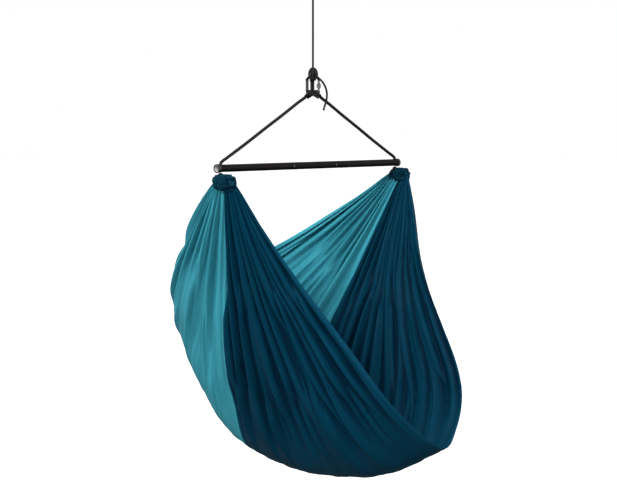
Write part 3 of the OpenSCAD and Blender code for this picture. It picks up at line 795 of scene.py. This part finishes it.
def scrunched(side, seed):
    """The channel, ruffled where it is pushed together on its loop."""
    path = evenly(ring_path(side, 112, -288, 400), 0.0006)
    steps, sides = len(path), 64
    at = np.linspace(0, 1, steps)[:, None]
    ahead = np.gradient(path, axis=0)
    ahead /= np.linalg.norm(ahead, axis=1)[:, None]
    inward = np.cross(ahead, [1.0, 0, 0])
    angle = np.linspace(0, 2 * math.pi, sides, endpoint=False)[None]
    twist = at * 40 + 0.8 * np.sin(angle + 5 * at) + 1.2 * noise(at * 9, np.cos(angle) + 3, seed + 5)
    pucker = 1 - 2.6 * np.abs(noise(twist, 1.3 * np.cos(angle) + 3, seed))
    fine = 1 - 2 * np.abs(noise(twist * 2.2, 2.3 * np.sin(angle) + 7, seed + 1))
    broad = noise(at * 8, 1.2 * np.cos(angle) + 1.2 * np.sin(angle) + 5, seed + 2)
    ends = np.clip(np.minimum(at, 1 - at) / 0.05, 0.15, 1) ** 0.5
    mean_r, pucker_r, fine_r, broad_r = 0.0110, 0.0038, 0.0015, 0.0030
    r = (mean_r + pucker_r * pucker + fine_r * fine + broad_r * broad) * ends
    outward = np.where(np.cos(angle) * side > 0, 1.0, 0.75) * np.cos(angle)
    inwards = 1 + 1.1 * np.clip(np.sin(angle), 0, 1)
    verts = path[:, None] + r[..., None] * (outward[..., None] * np.array([1.0, 0, 0])
                                            + (inwards * np.sin(angle))[..., None] * inward[:, None])
    verts += np.array([0.002 * side, 0, 0])
    under_bar = bar_z - 0.0170
    verts[..., 2] = under_bar - np.logaddexp(0, (under_bar - verts[..., 2]) / 0.003) * 0.003
    i, k = np.meshgrid(np.arange(steps - 1), np.arange(sides), indexing="ij")
    a, b = i * sides + k, i * sides + (k + 1) % sides
    faces = np.stack([a, b, b + sides, a + sides], -1).reshape(-1, 4).tolist()
    faces += [list(range(sides))[::-1], list((steps - 1) * sides + np.arange(sides))]
    uv = np.stack([np.repeat(at * 0.25, sides, 1), np.repeat(angle * 0.0125, steps, 0)], -1)
    # Painted shade in the hollows between the ruffles, darkening the channel's colour
    groove_shade = between(-pucker - 0.5 * fine, -0.5, 0.8)
    return verts.reshape(-1, 3), faces, uv.reshape(-1, 2), groove_shade.ravel()


for side, name, seed in ((-1, "left", 31), (1, "right", 57)):
    verts, faces, uv, groove_shade = scrunched(side, seed)
    mesh_piece(f"channel_{name}_ruffled", verts, faces, "sling", shaded_channel_cloth, [f"end_channel_{name}"], uv,
               groove_shade)
    arc = ring_path(side, 25, -235, 80)
    knot = np.array([side * rope_x, 0, knot_z])
    starts = [knot + (p - knot) / np.linalg.norm(p - knot) * 0.0096 for p in (arc[0], arc[-1])]
    rope(f"end_loop_{name}_braided", [np.vstack([starts[0], arc, starts[1]])], 0.004, "sling", loop_rope,
         0.0003, [f"end_loop_{name}"])

# ---------- light and backdrop ----------

def area_light(name, place, aim, size, power, colour=(1, 1, 1)):
    data = bpy.data.lights.new(name, "AREA")
    data.shape = "RECTANGLE"
    data.size, data.size_y = size
    data.energy = power
    data.color = colour
    light = bpy.data.objects.new(name, data)
    scene.collection.objects.link(light)
    light.location = place
    light.rotation_euler = (Vector(aim) - Vector(place)).to_track_quat("-Z", "Y").to_euler()


area_light("key", (-3.4, -1.2, 1.4), (0, 0, -1.15), (1.2, 1.2), 190)
area_light("fill", (1.2, -3.8, 0.6), (0, 0, -1.2), (2.0, 2.0), 30)
area_light("back", (0.6, 3.2, 1.6), (0, 0.2, -1.1), (1.8, 1.8), 40)

world = bpy.data.worlds.new("studio")
scene.world = world
world.use_nodes = True
sky, sky_links = world.node_tree.nodes, world.node_tree.links
height = sky.new("ShaderNodeSeparateXYZ")
sky_links.new(sky.new("ShaderNodeTexCoord").outputs["Generated"], height.inputs["Vector"])
shades = sky.new("ShaderNodeValToRGB")
shades.color_ramp.elements[0].position, shades.color_ramp.elements[0].color = 0.0, (0.30, 0.30, 0.30, 1)
shades.color_ramp.elements[1].position, shades.color_ramp.elements[1].color = 1.0, (0.75, 0.75, 0.75, 1)
for place, grey in ((0.36, 0.35), (0.46, 1.0), (0.56, 1.0), (0.64, 0.55)):
    shades.color_ramp.elements.new(place).color = (grey, grey, grey, 1)
half_up = sky.new("ShaderNodeMath")
half_up.operation = "MULTIPLY_ADD"
half_up.inputs[1].default_value = half_up.inputs[2].default_value = 0.5
sky_links.new(height.outputs["Z"], half_up.inputs[0])
sky_links.new(half_up.outputs[0], shades.inputs["Fac"])
sky_links.new(shades.outputs["Color"], sky["Background"].inputs["Color"])

floor_data = bpy.data.meshes.new("floor")
floor_z = -2.1
corners = [(x, y, floor_z) for x, y in ((-40, -40), (40, -40), (40, 40), (-40, 40))]
floor_data.from_pydata(corners, [], [(0, 1, 2, 3)])
floor = bpy.data.objects.new("floor", floor_data)
scene.collection.objects.link(floor)
pale, pale_nodes, pale_links = nodes_of("pale_floor")
pale_shader = pale_nodes["Principled BSDF"]
mottle = noise_node(pale_nodes, pale_links, 2)
pale_colour = mix_colour(pale_nodes, pale_links, mottle, (0.80, 0.80, 0.80), (0.84, 0.84, 0.84))
pale_links.new(pale_colour, pale_shader.inputs["Base Color"])
pale_shader.inputs["Roughness"].default_value = 0.9
pale_shader.inputs["Emission Color"].default_value = (1, 1, 1, 1)
pale_shader.inputs["Emission Strength"].default_value = 0.62
floor_data.materials.append(pale)
floor.visible_diffuse = floor.visible_glossy = floor.visible_transmission = False
scene.view_settings.view_transform = "Standard"
